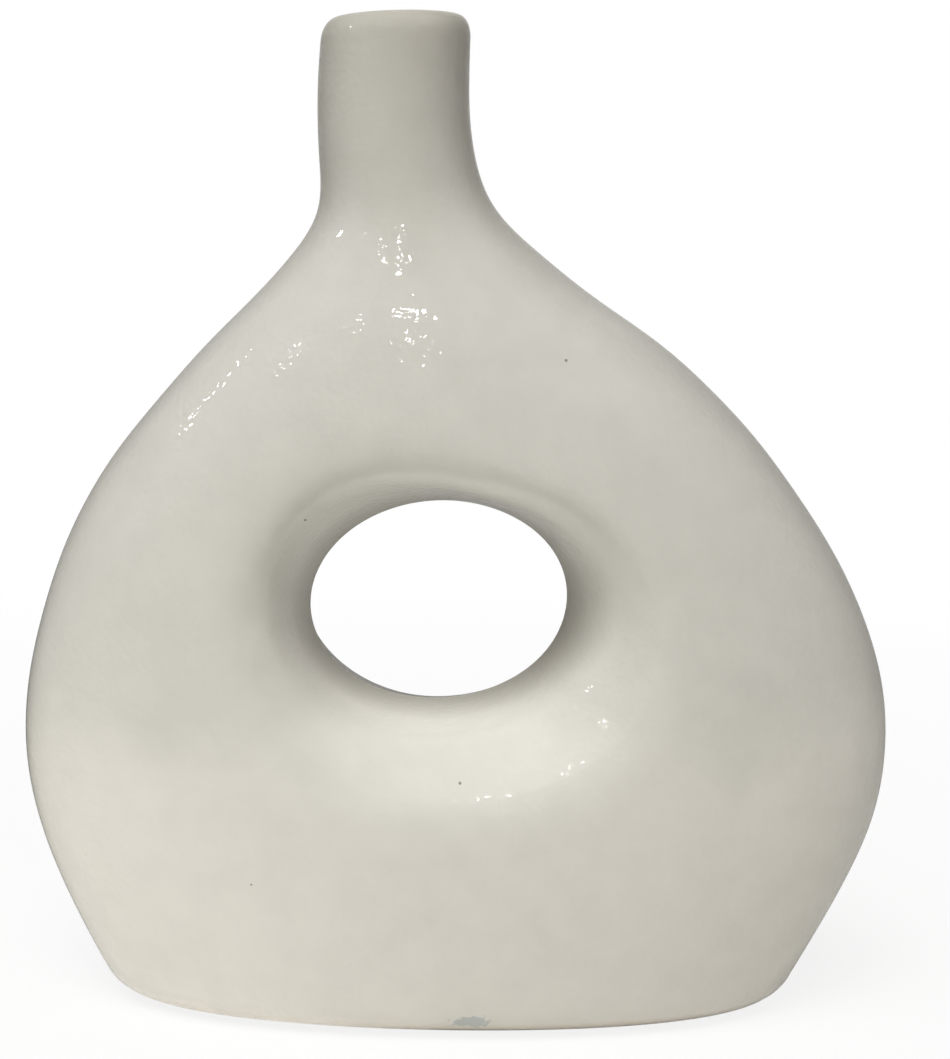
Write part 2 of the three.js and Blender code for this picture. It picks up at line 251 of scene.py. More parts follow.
# %% [markdown]
# From grids to closed meshes.
# Each piece is a few grids sewn together along their edges, as a potter lutes slabs. Blender could weld them
# with an operator, but numpy can do it before the mesh exists: points that agree to a thousandth of a
# millimetre become one, and a four-cornered patch that lost a corner becomes a triangle. A closed mesh has
# every edge used twice, once in each direction, and a positive volume if its faces point outwards, so both
# are measured and printed.

# %% Sew the grids of one piece
# Points nearer than this, in mm, are one, and faces that meet at more than this many degrees keep a sharp
# edge.
SAME, SHARP = 0.001, 40


def patches_of(rows, columns):
    """Corners of a grid's patches, by number: (i, j), (i+1, j), (i+1, j+1) and (i, j+1)."""
    index = np.arange(rows * columns).reshape(rows, columns)
    return np.stack([index[:-1, :-1], index[1:, :-1], index[1:, 1:], index[:-1, 1:]], axis=-1).reshape(-1, 4)


def sew(grids):
    """Joins grids to one mesh of points, quads and triangles. A grid marked inside is wound the other way,
    and points that coincide are merged."""
    points, patches, start = [], [], 0
    for grid, inside in grids:
        patch = start + patches_of(*grid.shape[:2])
        patches.append(patch[:, ::-1] if inside else patch)
        points.append(grid.reshape(-1, 3))
        start += len(points[-1])
    points = np.concatenate(points)
    _, first, merged = np.unique(np.round(points / SAME).astype(np.int64), axis=0,
                                 return_index=True, return_inverse=True)
    patches = merged.reshape(-1)[np.concatenate(patches)]
    corner = patches != np.roll(patches, 1, axis=1)
    count = corner.sum(axis=1)
    return points[first], patches[count == 4], patches[count == 3][corner[count == 3]].reshape(-1, 3)


def measured(points, quads, triangles):
    """Whether every edge is used once in each direction, and the volume from the signed tetrahedra of the
    faces."""
    faces = np.concatenate([quads[:, [0, 1, 2]], quads[:, [0, 2, 3]], triangles])
    ways = np.concatenate([faces[:, [0, 1]], faces[:, [1, 2]], faces[:, [2, 0]]])
    names = np.sort(ways[:, 0] * len(points) + ways[:, 1])
    backs = np.sort(ways[:, 1] * len(points) + ways[:, 0])
    closed = np.array_equal(names, backs) and len(np.unique(names)) == len(names)
    a, b, c = (points[faces[:, k]] for k in range(3))
    return closed, (np.cross(a, b) * c).sum() / 6, len(faces)


def place_mesh(name, points, faces, material):
    """A mesh of points in millimetres, as an object at the origin of the scene."""
    mesh = bpy.data.meshes.new(name)
    mesh.from_pydata((points * MM).tolist(), [], faces)
    mesh.materials.append(material)
    piece = bpy.data.objects.new(name, mesh)
    bpy.context.scene.collection.objects.link(piece)
    return piece


def make_piece(name, node, material, grids, change=None):
    """One finished piece in the place of a CAD node, riding on the only body. A change moves its points."""
    points, quads, triangles = sew(grids)
    closed, volume, count = measured(points, quads, triangles)
    piece = place_mesh(name, points, quads.tolist() + triangles.tolist(), material)
    mesh = piece.data
    if change is not None:
        change(mesh, points)
    mesh.polygons.foreach_set("use_smooth", np.ones(len(mesh.polygons), bool))
    mesh.set_sharp_from_angle(angle=math.radians(SHARP))
    mesh.update()
    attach(piece, "root")
    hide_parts(node)
    print(name, "closed" if closed else "OPEN", round(volume / 1000, 1), "cm3", count, "triangles")
    return piece


# %% [markdown]
# Materials, built node by node.
# Everything on this vase is fired stoneware: bare clay where the foot was wiped, and glaze everywhere else.
# Photos of glaze could be wrapped round it, but a pattern worked out from the piece's own Object coordinates
# stays sharp close up and has no seam. One small function adds a node, and colours are written as the usual
# sRGB hex values.

# %% Colour and node helpers
def linear(code):
    """An sRGB hex colour as linear light: c / 12.92 below 0.04045, else ((c + 0.055) / 1.055)^2.4, with
    alpha 1."""
    value = np.array([int(code[k:k + 2], 16) for k in (1, 3, 5)]) / 255
    return (*np.where(value < 0.04045, value / 12.92, ((value + 0.055) / 1.055) ** 2.4).tolist(), 1.0)


def add(tree, kind, inputs=(), **settings):
    """Adds one node. Settings are its own properties. Inputs pair a socket with a value, with another node's
    socket, or with a node, whose first output in use is then meant."""
    node = tree.nodes.new(kind)
    for key, value in settings.items():
        setattr(node, key, value)
    for socket, value in dict(inputs).items():
        if isinstance(value, bpy.types.Node):
            value = next(output for output in value.outputs if output.enabled)
        if isinstance(value, bpy.types.NodeSocket):
            tree.links.new(value, node.inputs[socket])
        else:
            node.inputs[socket].default_value = value
    return node


def per_metre(size):
    """Scale of a pattern whose features are size millimetres apart, in Object coordinates, which are
    metres."""
    return 1 / (size * MM)


def new_material(name):
    """An empty material and its node tree."""
    material = bpy.data.materials.new(name)
    material.use_nodes = True
    material.node_tree.nodes.clear()
    return material, material.node_tree


print("pale glaze in linear light:", np.round(linear("#dedbd0")[:3], 3).tolist())

# %% [markdown]
# The outer glaze.
# It is an opaque white stoneware glaze, dipped by hand and fired glossy: a milky, barely warm white. It was
# dipped a second time up to a wandering line, and is painted lighter below it, partly for that second coat
# and partly as painted light from the paper. The lower dish and the upper half of the throat are painted
# lighter as light, and the top of the neck darker as painted shade. A band near the parting plane, along the
# outline and round the throat, is painted shade. The lip is darker towards its top. Towards the wiped foot the
# glaze thins and the clay shows, with painted contact shade near the ground. The dark specks are iron from the
# clay, and the grey scuff at the foot comes from the shelf. The skin is like orange peel, and breaks each
# lamp's mirror image into sparkles. All this could be painted in a texture; here each is a range of heights or
# an oval in millimetres, so that it can be moved.
# The peel is noise two millimetres wide in a Bump node, with slower swells of six and a half.

# %% Glossy white glaze
# Settings of Map Range: from 1, where a change of tone starts, to 2, where it is full, and 4, how much that
# is. By height: from the lower body, lighter for its second coat and for painted light, to the tone above,
# with how far that line wanders up and down; the painted shade at the top; the darker top of the lip; the
# wiped foot, with thin glaze and painted contact shade; and the upper half of the throat's painted light.
# By distance from the parting plane: a band of painted shade along the outline and round the throat.
# Lighter below this line: partly a second coat, partly painted light from the paper.
DIP_AND_LIGHT_LINE, DIP_AND_LIGHT_WANDER = {1: 82 * MM, 2: 102 * MM}, 12 * MM
# Painted shade: the neck darker towards its top, where less light reaches it.
PAINTED_TOP_SHADE = {1: 215 * MM, 2: 298 * MM}
# The lip darker towards its top.
LIP_EDGE = {1: 292.5 * MM, 2: 297.5 * MM, 4: 0.45}
# Thin glaze over the clay, with painted contact shade near the ground.
FOOT_EDGE = {1: 6 * MM, 2: 1.5 * MM, 4: 0.6}
UPPER_HALF = {1: 105 * MM, 2: 125 * MM, 4: 0.6}
# Painted shade: a darker band along the outline and round the throat, near the parting plane.
PAINTED_EDGE_SHADE = {1: 19 * MM, 2: 2 * MM, 4: 0.5}
# Ovals in mm: across and up to the middle, half width, half height. Specks are round: across, up and radius.
# Each has its own Map Range over the way from its middle, where 1 is the oval itself.
# Painted light: the lower dish, which faces up to the lamps, is lighter.
PAINTED_DISH_LIGHT, DISH_LIGHT_SOFT = (-2.0, 85.0, 55.0, 23.0), {1: 1.1, 2: 0.5, 4: 0.9}
# Painted light: the throat's wall lighter, most in its upper half.
PAINTED_THROAT_LIGHT, THROAT_LIGHT_SOFT = (-5.6, 125.5, 52.0, 43.0), {1: 1.05, 2: 0.85}
SCUFF, SCUFF_SOFT, SCUFF_TORN = (6.0, 6.6, 7.0, 2.6), {1: 1.7, 2: 1.5, 4: 0.6}, 1.6
SPECKS = [(29.8, 200.8, 0.55), (1.8, 80.2, 0.5), (-43.4, 154.3, 0.45), (-57.9, 49.3, 0.4)]
SPECK_SOFT = {1: 1.0, 2: 0.5}
FAR = 9.0


def oval_way(tree, spot, oval, front_only=False):
    """How far a spot is from an oval's middle, where 1 is the oval itself. A spot is across, 0 in front or 1
    behind, and up, and from behind an oval of the front only is far away."""
    across, up, half, tall = oval
    scale = (1 / (half * MM), FAR if front_only else 0.0, 1 / (tall * MM))
    moved = add(tree, "ShaderNodeVectorMath", {0: spot, 1: scale, 2: (-across / half, 0.0, -up / tall)},
                operation="MULTIPLY_ADD")
    return add(tree, "ShaderNodeVectorMath", {0: moved}, operation="LENGTH")


def iron_specks(tree, place, spot, behind):
    """1 on a speck and 0 beside it: behind, the middles of a few Voronoi cells, and in front the listed
    specks."""
    cells = add(tree, "ShaderNodeTexVoronoi", {"Vector": place, "Scale": per_metre(17)})
    middle = add(tree, "ShaderNodeMapRange", {0: cells.outputs["Distance"], 1: 0.045, 2: 0.02})
    rare = add(tree, "ShaderNodeMath", {0: cells.outputs["Color"], 1: 0.62}, operation="GREATER_THAN")
    few = add(tree, "ShaderNodeMath", {0: middle, 1: rare}, operation="MULTIPLY")
    iron = add(tree, "ShaderNodeMath", {0: few, 1: behind}, operation="MULTIPLY")
    for across, up, radius in SPECKS:
        way = oval_way(tree, spot, (across, up, radius, radius), front_only=True)
        near = add(tree, "ShaderNodeMapRange", {0: way, **SPECK_SOFT})
        iron = add(tree, "ShaderNodeMath", {0: iron, 1: near}, operation="MAXIMUM")
    return iron


def torn_scuff(tree, place, spot):
    """The way from the scuff's middle, torn by adding noise to it."""
    grain = add(tree, "ShaderNodeTexNoise", {"Vector": place, "Scale": per_metre(2.4), "Detail": 3.0})
    way = oval_way(tree, spot, SCUFF, front_only=True)
    return add(tree, "ShaderNodeMath", {0: grain, 1: SCUFF_TORN, 2: way}, operation="MULTIPLY_ADD")


def fired_white_glaze(name, lower_dipped_and_lit, once, thin):
    """Principled surface with IOR 1.5 and roughness near 0.04. The three colours are the coat's tone below the
    wandering line, where it was dipped twice and is painted lighter as light from the paper; its tone above
    the line; and the painted shade at the top of the neck. The other tones are laid over them one by one, each
    by a share that a Map Range takes from a height, an oval or a noise."""
    material, tree = new_material(name)
    place = add(tree, "ShaderNodeTexCoord").outputs["Object"]
    x, y, z = add(tree, "ShaderNodeSeparateXYZ", {"Vector": place}).outputs
    behind = add(tree, "ShaderNodeMath", {0: y, 1: 0.0}, operation="GREATER_THAN")
    spot = add(tree, "ShaderNodeCombineXYZ", {"X": x, "Y": behind, "Z": z})
    clouds = add(tree, "ShaderNodeTexNoise", {"Vector": place, "Scale": per_metre(46), "Detail": 3.0})
    blotch = add(tree, "ShaderNodeTexNoise", {"Vector": place, "Scale": per_metre(11), "Detail": 4.0})
    wander = add(tree, "ShaderNodeMapRange", {0: clouds, 1: 0.3, 2: 0.7, 3: -DIP_AND_LIGHT_WANDER, 4: DIP_AND_LIGHT_WANDER})
    dip_and_light_line = add(tree, "ShaderNodeMath", {0: z, 1: wander}, operation="ADD")
    upper = add(tree, "ShaderNodeMapRange", {0: z, **UPPER_HALF})
    aside = add(tree, "ShaderNodeMath", {0: y}, operation="ABSOLUTE")
    # Among these tones are painted light and shade: the lighter lower body, dish and throat, and the darker
    # neck top and band by the parting plane; at the foot, thin glaze with painted contact shade.
    layers = [
        (dip_and_light_line, DIP_AND_LIGHT_LINE, once, "MIX"),
        (oval_way(tree, spot, PAINTED_DISH_LIGHT), DISH_LIGHT_SOFT, "#e3dfd7", "MIX"),
        (oval_way(tree, spot, PAINTED_THROAT_LIGHT), {**THROAT_LIGHT_SOFT, 4: upper}, "#e8e5de", "MIX"),
        (z, PAINTED_TOP_SHADE, thin, "MIX"),
        (blotch, {1: 0.35, 2: 0.75}, "#fafafa", "MULTIPLY"),
        (aside, PAINTED_EDGE_SHADE, "#a5a094", "MIX"),
        (z, LIP_EDGE, "#c9c3b4", "MIX"),
        (z, FOOT_EDGE, "#b9ab94", "MIX"),
        (iron_specks(tree, place, spot, behind), {}, "#8f887c", "MIX"),
        (torn_scuff(tree, place, spot), SCUFF_SOFT, "#a4adb0", "MIX"),
    ]
    tone = linear(lower_dipped_and_lit)
    for value, reach, colour, how in layers:
        share = add(tree, "ShaderNodeMapRange", {0: value, **reach})
        tone = add(tree, "ShaderNodeMix", {0: share, 6: tone, 7: linear(colour)},
                   data_type="RGBA", blend_type=how)
    peel = add(tree, "ShaderNodeTexNoise", {"Vector": place, "Scale": per_metre(2.0), "Detail": 0.6})
    swell = add(tree, "ShaderNodeTexNoise", {"Vector": place, "Scale": per_metre(6.5), "Detail": 1.0})
    skin = add(tree, "ShaderNodeBump", {"Height": peel, "Strength": 0.42, "Distance": 0.3 * MM})
    skin = add(tree, "ShaderNodeBump",
               {"Height": swell, "Strength": 0.12, "Distance": 0.6 * MM, "Normal": skin})
    gloss = add(tree, "ShaderNodeMapRange", {0: blotch, 1: 0.3, 2: 0.7, 3: 0.025, 4: 0.05})
    surface = add(tree, "ShaderNodeBsdfPrincipled",
                  {"Base Color": tone, "Roughness": gloss, "IOR": 1.5, "Normal": skin})
    add(tree, "ShaderNodeOutputMaterial", {"Surface": surface})
    return material


# Colours: the lower tone, lighter for a second coat and for painted light; the tone above; the painted shade
# at the neck's top.
outer_white = fired_white_glaze("glossy_white_stoneware_glaze", "#dfdad2", "#d5d1c9", "#c0bbb2")
inner_white = fired_white_glaze("poured_white_liner_glaze", "#e3e1d8", "#dfdcd2", "#d6d3c8")
print("glazes:", outer_white.name, inner_white.name)

# %% [markdown]
# The clay.
# The body is buff stoneware, pressed in moulds, scraped and fired. Bare, it is matt and slightly sandy, with
# pale and rusty grains of grog about half a millimetre wide. It shows only at the wiped foot ring and under
# the base, but the hidden halves are the same clay. Noise at grain size colours it and roughens it.

# %% Bare fired clay
def buff_stoneware(name):
    """Principled surface with roughness near 0.85, colour from clouds and grains of grog, and a sandy
    bump."""
    material, tree = new_material(name)
    place = add(tree, "ShaderNodeTexCoord").outputs["Object"]
    clouds = add(tree, "ShaderNodeTexNoise", {"Vector": place, "Scale": per_metre(24), "Detail": 4.0})
    grog = add(tree, "ShaderNodeTexVoronoi", {"Vector": place, "Scale": per_metre(1.1)})
    sand = add(tree, "ShaderNodeTexNoise", {"Vector": place, "Scale": per_metre(0.6), "Detail": 3.0})
    grain = add(tree, "ShaderNodeMapRange", {0: grog, 1: 0.28, 2: 0.12, 4: 0.7})
    tone = add(tree, "ShaderNodeMix", {0: clouds, 6: linear("#cdbfa6"), 7: linear("#bda98b")},
               data_type="RGBA")
    tone = add(tree, "ShaderNodeMix", {0: grain, 6: tone, 7: linear("#a3835f")}, data_type="RGBA")
    dust = add(tree, "ShaderNodeMapRange", {0: sand, 1: 0.3, 2: 0.7, 3: 0.78, 4: 0.94})
    skin = add(tree, "ShaderNodeBump", {"Height": sand, "Strength": 0.5, "Distance": 0.2 * MM})
    surface = add(tree, "ShaderNodeBsdfPrincipled",
                  {"Base Color": tone, "Roughness": dust, "IOR": 1.5, "Normal": skin})
    add(tree, "ShaderNodeOutputMaterial", {"Surface": surface})
    return material


bare_clay = buff_stoneware("fired_buff_stoneware_clay")
print("clay:", bare_clay.name)

# %% [markdown]
# The two pressed halves.
# Each half is a clay sheet five and a half millimetres thick: out over the face, round the throat, back
# along the cavity and across the outline's edge. Solidify could thicken a single sheet, but the wall has to
# end square on the parting plane, so the outside and the inside are both worked out and sewn together.

# %% Front and back shell
# How deep each layer starts below the skin, in mm: the clay under the outer glaze, the cavity with its liner
# glaze, and the liner's own surface.
CLAY, CAVITY, LINING = 0.6, 6.1, 6.6


def wall(side):
    """The grid of one half: the outer layer's rows, the inner layer's rows backwards, and the first column
    again."""
    outer = half_face(side, CLAY, FLOOR, HIDDEN)
    inner = half_face(side, CAVITY, FLOOR, HIDDEN)
    return np.concatenate([outer, inner[:, ::-1], outer[:, :1]], axis=1)


make_piece("front_shell_pressed", "front_shell", bare_clay, [(wall(-1), False)])
make_piece("back_shell_pressed", "back_shell", bare_clay, [(wall(1), True)])

# %% [markdown]
# The neck and its lip.
# The neck is an oval tube, thrown or pulled, then joined to the shoulders, with a soft lip that leans in and
# turns over into the bore. It is a lathe shape with an oval for a circle: a profile of heights and insets,
# carried round the ring of sections. The lip is two quarter ellipses, a wide one outside and a tight one
# inside.

# %% Neck profile
# Down the bore, the outer glaze ends at this height. The lip rolls in and down outside, and eases into the
# bore.
GLAZE_END = TOP - 24.0
LIP_IN, LIP_DROP, LIP_EASE = 3.8, 6.5, 3.0
round_angles = np.linspace(0, 2 * math.pi, 2 * HIDDEN["arc"] + 1)


def around(profile):
    """Carries a profile of (height, inset) pairs round the section rings: one row for each angle."""
    return ring(profile[None, :, 0], round_angles[:, None], profile[None, :, 1])


def neck_profile(layer, straight, lip, ease):
    """Up the outside, over the lip and down the bore to where the outer glaze ends. On the lip's outside the
    height grows with the sine of the angle, and the inset as its cosine falls. Inside, the height falls with
    the cosine and the inset grows with the sine."""
    bore = CAVITY + CLAY - layer
    rise = np.linspace(SEAT, TOP - LIP_DROP, straight + 1)[:-1]
    out, turn = np.linspace(0, math.pi / 2, lip + 1), np.linspace(0, math.pi / 2, ease + 1)[1:]
    fall = np.linspace(TOP - LIP_EASE, GLAZE_END, ease + 1)[1:]
    heights = [rise, TOP - LIP_DROP + (LIP_DROP - layer) * np.sin(out),
               TOP - LIP_EASE + (LIP_EASE - layer) * np.cos(turn), fall]
    insets = [np.full_like(rise, layer), LIP_IN - (LIP_IN - layer) * np.cos(out),
              LIP_IN + (bore - LIP_IN) * np.sin(turn), np.full_like(fall, bore)]
    return np.stack([np.concatenate(heights), np.concatenate(insets)], axis=1)


def bore_profile(layer, steps):
    """Straight up the inside of the neck from the joint to where the outer glaze ends."""
    rise = np.linspace(SEAT, GLAZE_END, steps + 1)
    return np.stack([rise, np.full_like(rise, layer)], axis=1)


neck_wall = np.concatenate([neck_profile(CLAY, 14, 8, 5), bore_profile(CAVITY, 10)[-2::-1], [[SEAT, CLAY]]])
make_piece("neck_tube_joined", "neck_tube", bare_clay, [(around(neck_wall), False)])

# %% [markdown]
# The base and its foot ring.
# A flat slab closes the body. Its edge is rounded, and under it a shallow recess leaves a standing ring, so
# the vase doesn't rock. The bottom millimetre and a half of the edge was wiped free of glaze before firing,
# or it would have stuck to the kiln shelf. The slab is one profile again, from the middle of the top to the
# middle of the recess.

# %% Base plate
# Height of the wiped edge, width of the standing ring, and depth of the recess within it.
DRY_FOOT, RING, RECESS = 1.5, 9.0, 2.5


def foot_profile(layer, steps):
    """Down the rounded edge, from the joint to the line where the glaze stops: the height falls with the
    sine."""
    lowest = math.asin(1 - DRY_FOOT / ROUND_UP)
    z = np.append(FLOOR, ROUND_UP * (1 - np.sin(np.linspace(0, lowest, steps + 1))))
    return np.stack([z, np.full_like(z, layer)], axis=1)


def base_grid():
    """Rows from the slab's middle over its edge to the ground, then in under it: the standing ring, a wave
    from the ring up to the recess by half a cosine, and the recess's flat to the middle."""
    edge = around(np.concatenate([foot_profile(CLAY, 8), [[0.6, CLAY], [0.15, CLAY], [0.0, CLAY]]]))
    middle, half, depth, _ = section(0.0, CLAY)
    hub = np.array([middle, 0.0, 0.0])
    wave = np.linspace(0, 1, 9)
    inset = np.concatenate([np.linspace(0, RING, 5)[1:], RING + 2 * RECESS * wave[1:]])
    rise = np.concatenate([np.zeros(4), RECESS * (1 - np.cos(math.pi * wave[1:])) / 2])
    shrink = 1 - inset[:, None] / np.array([half, depth, np.inf])
    under = hub + (edge[:, -1:] - hub) * shrink + rise[:, None] * np.array([0, 0, 1])
    top = np.broadcast_to(hub + [0, 0, FLOOR], edge[:, :1].shape)
    bottom = np.broadcast_to(hub + [0, 0, RECESS], edge[:, :1].shape)
    return np.concatenate([top, edge, under, bottom], axis=1)


make_piece("base_plate_foot", "base_plate", bare_clay, [(base_grid(), True)])

# %% [markdown]
# The coat of glaze.
# A real coat of this glaze is about 0.6 mm thick, and it is a piece of its own here: its inner side lies on
# the clay, its outer side is what the eye sees, and narrow strips close it inside the bore and above the
# foot. Hand-pressed walls are never quite true, and gloss shows it. So the outer side gets a slow ripple of
# a few tenths of a millimetre from a sum of plane waves, a soft swell where the neck was luted on, and one
# shallow dent at the lower left, where a finger went in. A Displace modifier could do it, but these few sums
# need no texture and can be read.

# %% Outer glaze with the hand's ripple
# Number, shortest, longest and height of the plane waves, in mm.
WAVE_COUNT, WAVE_SHORT, WAVE_LONG, WAVE_HEIGHT = 16, 34, 95, 0.045
chance = np.random.default_rng(11)
wave_length = chance.uniform(WAVE_SHORT, WAVE_LONG, WAVE_COUNT)
wave_way = chance.normal(size=(WAVE_COUNT, 3))
wave_way *= (2 * math.pi / wave_length / np.linalg.norm(wave_way, axis=1))[:, None]
wave_start = chance.uniform(0, 2 * math.pi, WAVE_COUNT)
# Swells across the root of the neck: height, width up and down, and how far out.
SWELLS = np.array([[238.0, 9.0, -0.15], [211.0, 11.0, 0.9]])
DENT = {"place": (-96.0, -22.0, 39.0), "size": (16.0, 12.0, 5.5), "deep": 0.35}
# The movement fades out over these heights above the bare foot and below the lip. A point this near is on
# the skin.
FOOT_FADE, LIP_FADE, NEAR = 9, 12, 0.15


def skin_share(points):
    """1 on the outer side of the coat, 0 on its inner side and in the bore, told apart by the distance from
    the skin's own surface: the section's curve on the neck, the face's depth on the body."""
    z = points[:, 2]
    middle, half, depth, n = section(np.minimum(z, TOP - LIP_DROP), 0.0)
    level = ((np.abs(points[:, 0] - middle) / half) ** n + (np.abs(points[:, 1]) / depth) ** n) ** (1 / n)
    on_neck = (1 - level) * np.minimum(half, depth) < NEAR
    on_face = np.abs(points[:, 1]) > face_depth(points[:, [0, 2]], 0.0, points[:, 1] < 0) - NEAR
    lip_fade = np.clip((TOP - LIP_DROP - z) / LIP_FADE, 0, 1)
    return np.where(z > SEAT, on_neck, on_face) * lip_fade


def hand_ripple(mesh, points):
    """Moves the skin along its normals by the sum of the waves, the swells and the dent, both Gaussians.
    Swells count where the skin faces front or back. Inner points stay, and the movement fades out at the
    ends of the coat."""
    normals = np.empty(len(points) * 3)
    mesh.vertex_normals.foreach_get("vector", normals)
    normals = normals.reshape(-1, 3)
    waves = np.sin(points @ wave_way.T + wave_start).sum(axis=1) * WAVE_HEIGHT
    swells = (SWELLS[:, 2] * np.exp(-((points[:, 2:] - SWELLS[:, 0]) / SWELLS[:, 1]) ** 2)).sum(axis=1)
    dent = (((points - DENT["place"]) / DENT["size"]) ** 2).sum(axis=1)
    fade_foot = np.clip((points[:, 2] - DRY_FOOT) / FOOT_FADE, 0, 1)
    move = waves + swells * np.abs(normals[:, 1]) - DENT["deep"] * np.exp(-dent)
    move *= fade_foot * skin_share(points)
    mesh.vertices.foreach_set("co", ((points + normals * move[:, None]) * MM).ravel())
    print("ripple from", round(move.min(), 2), "to", round(move.max(), 2), "mm")


def strip(outer, inner):
    """A narrow strip between the ends of two grids."""
    return np.stack([outer[:, -1], inner[:, -1]], axis=1)


neck_skin, neck_back = around(neck_profile(0.0, 40, 14, 8)), around(neck_profile(CLAY, 14, 8, 5))
foot_skin, foot_back = around(foot_profile(0.0, 8)), around(foot_profile(CLAY, 8))
outer_coat = make_piece("outer_glaze_coat", "outer_glaze", outer_white, [
    (half_face(-1, 0.0, FLOOR, FINE), False),
    (half_face(1, 0.0, FLOOR, FINE), True),
    (half_face(-1, CLAY, FLOOR, HIDDEN), True),
    (half_face(1, CLAY, FLOOR, HIDDEN), False),
    (neck_skin, False),
    (neck_back, True),
    (strip(neck_skin, neck_back), False),
    (foot_skin, True),
    (foot_back, False),
    (strip(foot_skin, foot_back), True),
], hand_ripple)

# %% [markdown]
# The liner glaze.
# Glaze was also poured in through the neck, swilled round and poured out, so the vase holds water. It covers
# the cavity, the floor and the bore up to the outer coat. It is built as the outer coat is, half a
# millimetre thick, and shows only as a pale gleam down the mouth.

# %% Liner glaze
def disc(z, inset):
    """A flat oval at height z: straight lines from its middle to its ring."""
    edge = around(np.array([[z, inset]]))
    hub = np.array([section(z, inset)[0], 0.0, z])
    return np.concatenate([np.broadcast_to(hub, edge.shape), edge], axis=1)


BED = FLOOR + LINING - CAVITY
bore_back, bore_skin = around(bore_profile(CAVITY, 10)), around(bore_profile(LINING, 10))
make_piece("liner_glaze_coat", "liner_glaze", inner_white, [
    (half_face(-1, CAVITY, FLOOR, HIDDEN), False),
    (half_face(1, CAVITY, FLOOR, HIDDEN), True),
    (half_face(-1, LINING, BED, HIDDEN), True),
    (half_face(1, LINING, BED, HIDDEN), False),
    (bore_back, False),
    (bore_skin, True),
    (strip(bore_back, bore_skin), False),
    (disc(FLOOR, CAVITY), False),
    (disc(BED, LINING), True),
])

# %% [markdown]
# The floor.
# The vase stands on plain white paper. A floor that only reflected the lamps would look grey, and more light
# would bleach the vase, so the paper is white by itself wherever the camera or a mirror image looks at it:
# Light Path says when, and a strength of 1 is white. A share of ordinary diffuse stays in the mix, and keeps
# the soft shadow.

# %% White paper floor
# The sheet's radius, and how far it lies below the foot, in mm. Round the vase this share of it is white by
# itself, and all of it further out, between these distances in m.
PAPER_RADIUS, PAPER_DROP = 4000.0, 0.2
SELF_WHITE, WHITE_NEAR, WHITE_FAR = 0.86, 0.2, 0.7


def seen_ray(tree):
    """1 for a ray from the camera, a mirror image or through glass, and 0 for one that carries light."""
    ray = add(tree, "ShaderNodeLightPath").outputs
    seen = add(tree, "ShaderNodeMath", {0: ray["Is Camera Ray"], 1: ray["Is Glossy Ray"]}, operation="MAXIMUM")
    return add(tree, "ShaderNodeMath", {0: seen, 1: ray["Is Transmission Ray"]}, operation="MAXIMUM")


def white_paper():
    """Mixes white emission over a diffuse paper for rays that look at it, and more so further out, so the
    floor's rim melts into the white world."""
    material, tree = new_material("matt_white_paper")
    place = add(tree, "ShaderNodeTexCoord").outputs["Object"]
    away = add(tree, "ShaderNodeVectorMath", {0: place}, operation="LENGTH")
    white = add(tree, "ShaderNodeMapRange", {0: away, 1: WHITE_NEAR, 2: WHITE_FAR, 3: SELF_WHITE, 4: 1.0})
    share = add(tree, "ShaderNodeMath", {0: seen_ray(tree), 1: white}, operation="MULTIPLY")
    fibre = add(tree, "ShaderNodeTexNoise", {"Vector": place, "Scale": per_metre(3), "Detail": 3.0})
    tone = add(tree, "ShaderNodeMix", {0: fibre, 6: linear("#eeeeec"), 7: linear("#f4f4f2")},
               data_type="RGBA")
    paper = add(tree, "ShaderNodeBsdfDiffuse", {"Color": tone})
    glow = add(tree, "ShaderNodeEmission", {"Color": (1, 1, 1, 1), "Strength": 1.0})
    mixed = add(tree, "ShaderNodeMixShader", {0: share, 1: paper, 2: glow})
    add(tree, "ShaderNodeOutputMaterial", {"Surface": mixed})
    return material


def paper_sheet(rings, steps):
    """A round sheet: the radius grows with the square of the first parameter, and the second goes round."""
    r = (PAPER_RADIUS * np.linspace(0, 1, rings + 1) ** 2)[:, None]
    a = np.linspace(0, 2 * math.pi, steps + 1)[None]
    return np.stack([r * np.cos(a), r * np.sin(a), 0 * r * a - PAPER_DROP], axis=-1)


points, quads, triangles = sew([(paper_sheet(24, 96), False)])
paper_floor = place_mesh("paper_floor", points, quads.tolist() + triangles.tolist(), white_paper())
print("floor", 2 * PAPER_RADIUS * MM, "m across,", len(quads) + len(triangles), "patches")

# %% [markdown]
# The room that the glaze mirrors.
# Gloss shows its surroundings, most of all where a surface turns away from the eye. In a room that was white
# all round, the edges of a white vase would vanish, so photographers hang grey and black cloth about and
# leave only a few pale sides. Planes could stand for those cloths; one dome with a grey tone for each
# direction is simpler to tune. Only mirror images see it, and the light on the vase comes from the lamps
# further down.

# %% A grey dome that only mirror images see
# Rows: on the ground at two distances in mm, then up the dome at three angles in degrees. Columns: front,
# right front, right behind, behind, left behind, left front, and the front again.
ROOM_GROUND, ROOM_ANGLES = [100, 350], [15, 45, 90]
ROOM = np.array([
    [0.02, 0.15, 0.56, 0.11, 0.48, 1.00, 0.02],
    [0.02, 0.02, 0.45, 0.20, 0.02, 0.02, 0.02],
    [0.02, 0.06, 0.18, 0.66, 0.02, 0.18, 0.02],
    [0.02, 0.80, 0.02, 0.78, 0.30, 0.64, 0.02],
    [0.02, 0.02, 0.02, 0.02, 0.02, 0.02, 0.02],
])
ROOM_RADIUS, ROOM_LIFT = 1600.0, 0.6


def shares(places, knots):
    """Straight-line interpolation as a matrix: how much each knot counts at each place."""
    return np.stack([np.interp(places, knots, unit) for unit in np.eye(len(knots))], axis=1)


